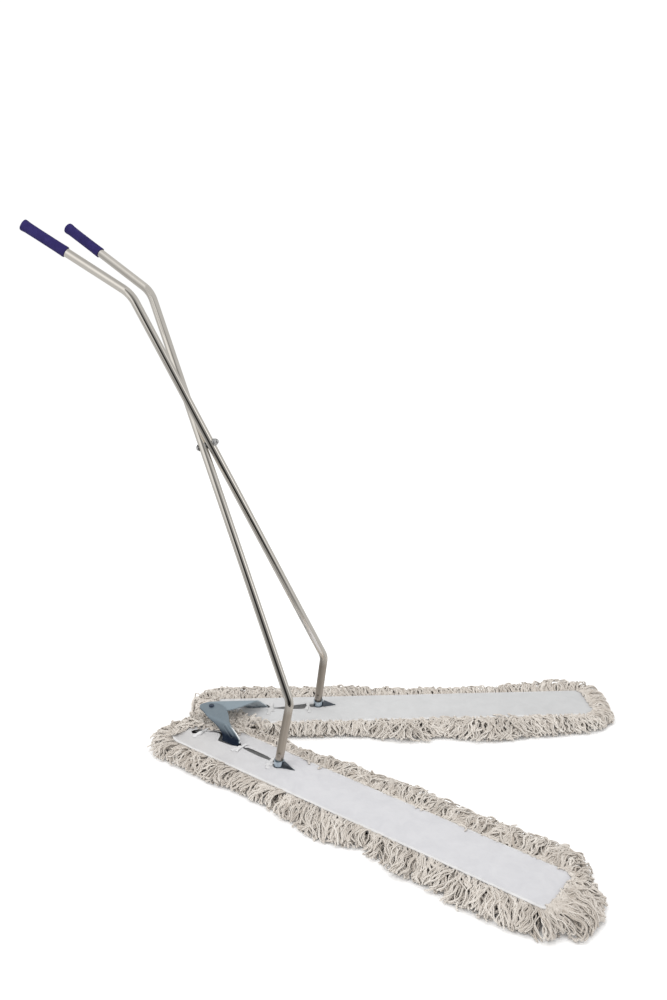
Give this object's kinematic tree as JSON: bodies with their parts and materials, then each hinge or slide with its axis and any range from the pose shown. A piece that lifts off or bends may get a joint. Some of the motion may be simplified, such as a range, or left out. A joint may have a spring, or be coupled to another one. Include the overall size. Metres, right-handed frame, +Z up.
{
  "type": "v-shaped mop",
  "caption": "V-shaped floor sweeper mop: long looped-yarn mops under canvas covers, hinged at one apex and opened and closed by crossed bent steel handle tubes with grips.",
  "frame": {"origin": "on the floor, under the middle of the whole mop's bounding box", "axes": "+Z up; +X from the apex hinge towards the open end of the V; +Y the operator's left"},
  "size_m": [1.4003, 1.0568, 1.27],
  "materials": {
    "yarn": "looped cotton yarn, unbleached",
    "canvas": "plain-weave canvas, white",
    "tape": "woven cotton tape",
    "zinc_sheet": "pressed sheet, bright blue zinc plated",
    "zinc_bar": "dull zinc plated steel",
    "zinc_bright": "bright zinc plated steel",
    "fastener": "zinc plated",
    "rivet": "dark steel rivet",
    "tube": "polished plated steel tube, warm tint",
    "grip": "soft moulded plastic, dark blue"
  },
  "bodies": {
    "right_frame": {"right_yarn_pad": "yarn", "right_canvas_cover": "canvas", "right_canvas_ties": "tape", "right_spine_bar": "zinc_bar", "right_wire_loop": "zinc_bar", "right_cross_strap": "zinc_bar", "right_hinge_arm": "zinc_sheet", "right_arm_rivets": "fastener", "right_socket_plate": "zinc_bar", "apex_bolt": "fastener", "apex_washers": "fastener", "apex_locknut": "fastener"},
    "left_frame": {"left_yarn_pad": "yarn", "left_canvas_cover": "canvas", "left_canvas_ties": "tape", "left_spine_bar": "zinc_bar", "left_wire_loop": "zinc_bar", "left_cross_strap": "zinc_bar", "left_hinge_arm": "zinc_sheet", "left_arm_rivets": "fastener", "left_socket_plate": "zinc_bar"},
    "right_shoe": {"right_swivel_shoe": "zinc_bright", "right_swivel_nut": "fastener"},
    "left_shoe": {"left_swivel_shoe": "zinc_bright", "left_swivel_nut": "fastener", "left_cross_pin": "rivet"},
    "right_pin": {"right_cross_pin": "rivet"},
    "right_handle": {"right_handle_tube": "tube", "right_grip": "grip", "scissor_bolt": "fastener", "scissor_washers": "fastener", "scissor_locknut": "fastener"},
    "left_handle": {"left_handle_tube": "tube", "left_grip": "grip"}
  },
  "joints": [
    {"name": "v_open", "type": "hinge", "parent": "right_frame", "child": "left_frame", "pos_m": [-0.31186, 0, 0.07], "axis": [0, 0, 1], "range_deg": [-16, 24]},
    {"name": "right_swivel", "type": "hinge", "parent": "right_frame", "child": "right_shoe", "pos_m": [-0.07189, -0.14619, 0.036], "axis": [0, 0, 1], "range_deg": [-8.2, 12.2]},
    {"name": "left_swivel", "type": "hinge", "parent": "left_frame", "child": "left_shoe", "pos_m": [-0.07189, 0.14805, 0.036], "axis": [0, 0, 1], "range_deg": [-12.2, 8.2]},
    {"name": "handle_tilt", "type": "hinge", "parent": "right_shoe", "child": "right_pin", "pos_m": [-0.07189, -0.14619, 0.0675], "axis": [0, 1, 0], "range_deg": [0, 20]},
    {"name": "right_rock", "type": "hinge", "parent": "right_pin", "child": "right_handle", "pos_m": [-0.07189, -0.14619, 0.0675], "axis": [0.9189, 0, 0.3944], "range_deg": [-3.95, 2.65]},
    {"name": "scissor", "type": "hinge", "parent": "right_handle", "child": "left_handle", "pos_m": [-0.29635, 0, 0.7612], "axis": [0.9189, 0, 0.3944], "range_deg": [-5.25, 7.85]}
  ],
  "couplings": [
    {"joint": "right_swivel", "follows": "v_open", "ratio": 0.5},
    {"joint": "left_swivel", "follows": "v_open", "ratio": -0.5},
    {"joint": "right_rock", "follows": "v_open", "ratio": -0.1613},
    {"joint": "scissor", "follows": "v_open", "ratio": 0.3226}
  ]
}
